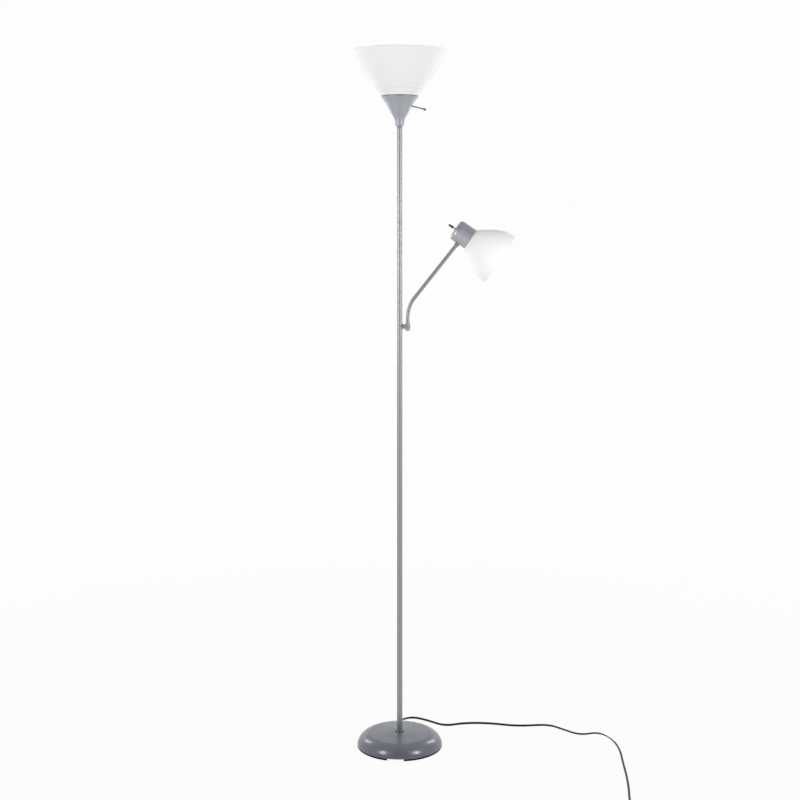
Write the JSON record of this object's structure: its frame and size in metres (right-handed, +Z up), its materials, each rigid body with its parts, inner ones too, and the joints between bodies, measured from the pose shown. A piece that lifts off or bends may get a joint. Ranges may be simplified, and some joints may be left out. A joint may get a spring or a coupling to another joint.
{
  "type": "torchiere floor lamp with reading light",
  "caption": "Floor lamp on a round weighted base: a slim pole with an upward bowl shade on top, and a bent side arm that carries a swivelling reading shade.",
  "frame": {"origin": "centre of the base's underside, on the floor and on the pole's axis", "axes": "+Z up along the pole, +X the way the reading arm points at rest, -Y the front that the picture shows; the cord leaves the base to +Y"},
  "size_m": [0.6967, 0.6622, 1.804],
  "materials": {
    "base_paint": "gloss",
    "cement": "matte",
    "pad_rubber": "matte",
    "edge_rubber": "satin",
    "pole_silver": "satin",
    "arm_silver": "satin",
    "plated_steel": "satin",
    "cup_silver": "satin",
    "frosted_shade": "satin",
    "holder_black": "satin",
    "ring_white": "satin",
    "brass": "satin",
    "bronze": "satin",
    "bulb_glass": "matte",
    "bulb_cap": "satin",
    "key_black": "satin",
    "wire_black": "satin",
    "cord_black": "satin",
    "tie_black": "matte"
  },
  "bodies": {
    "stand": {"base_cover": "base_paint", "base_weight": "cement", "base_bottom_pad": "pad_rubber", "base_edge_strip": "edge_rubber", "base_collar": "base_paint", "base_nipple": "plated_steel", "base_washer": "plated_steel", "base_nut": "plated_steel", "cord_bushing": "cord_black", "pole_bottom_bushing": "plated_steel", "pole_lower_tube": "pole_silver", "pole_lower_coupling": "plated_steel", "pole_middle_tube": "pole_silver", "pole_upper_coupling": "plated_steel", "pole_upper_tube": "pole_silver", "pole_top_bushing": "plated_steel", "pole_wire": "wire_black", "arm_bracket": "arm_silver", "swivel_ring": "plated_steel", "branch_wire": "wire_black", "torchiere_cup": "cup_silver", "cup_nipple": "plated_steel", "cup_nut": "plated_steel", "top_holder_body": "holder_black", "top_holder_shell": "brass", "top_holder_contact": "brass", "top_shade_ring": "ring_white", "torchiere_shade": "frosted_shade", "top_bulb_base": "bulb_cap", "top_bulb_glass": "bulb_glass", "top_switch_bush": "bronze", "power_cord": "cord_black", "power_cord_tail": "cord_black", "power_cord_coil": "cord_black", "cord_tie": "tie_black", "plug_body": "cord_black", "plug_blades": "brass"},
    "top_switch": {"top_switch_rod": "bronze", "top_switch_ball": "bronze"},
    "arm": {"arm_foot": "arm_silver", "arm_foot_plug": "arm_silver", "arm_tube": "arm_silver", "arm_wire": "wire_black", "arm_ferrule": "arm_silver", "head_nipple": "plated_steel", "head_nut": "plated_steel"},
    "reading_head": {"head_outer_washer": "arm_silver", "head_inner_washer": "plated_steel", "reading_cup": "cup_silver", "reading_holder_screws": "plated_steel", "reading_holder_body": "holder_black", "reading_holder_shell": "brass", "reading_holder_contact": "brass", "reading_shade_ring": "ring_white", "reading_shade": "frosted_shade", "reading_bulb_base": "bulb_cap", "reading_bulb_glass": "bulb_glass"},
    "reading_switch": {"reading_switch_stem": "plated_steel", "reading_switch_key": "key_black"}
  },
  "joints": [
    {"name": "arm_swivel", "type": "hinge", "parent": "stand", "child": "arm", "pos_m": [0.01135, 0, 1.0875], "axis": [1, 0, 0], "range_deg": [-90, 90]},
    {"name": "head_swivel", "type": "hinge", "parent": "arm", "child": "reading_head", "pos_m": [0.16769, 0, 1.32493], "axis": [0.6212, 0, 0.7837], "range_deg": [-150, 150]},
    {"name": "top_switch_turn", "type": "hinge", "parent": "stand", "child": "top_switch", "pos_m": [0.0652, 0, 1.6516], "axis": [0.965, 0, -0.2622], "continuous": true},
    {"name": "reading_switch_turn", "type": "hinge", "parent": "reading_head", "child": "reading_switch", "pos_m": [0.1832, 0, 1.31431], "axis": [0.8251, 0, -0.565], "continuous": true}
  ]
}
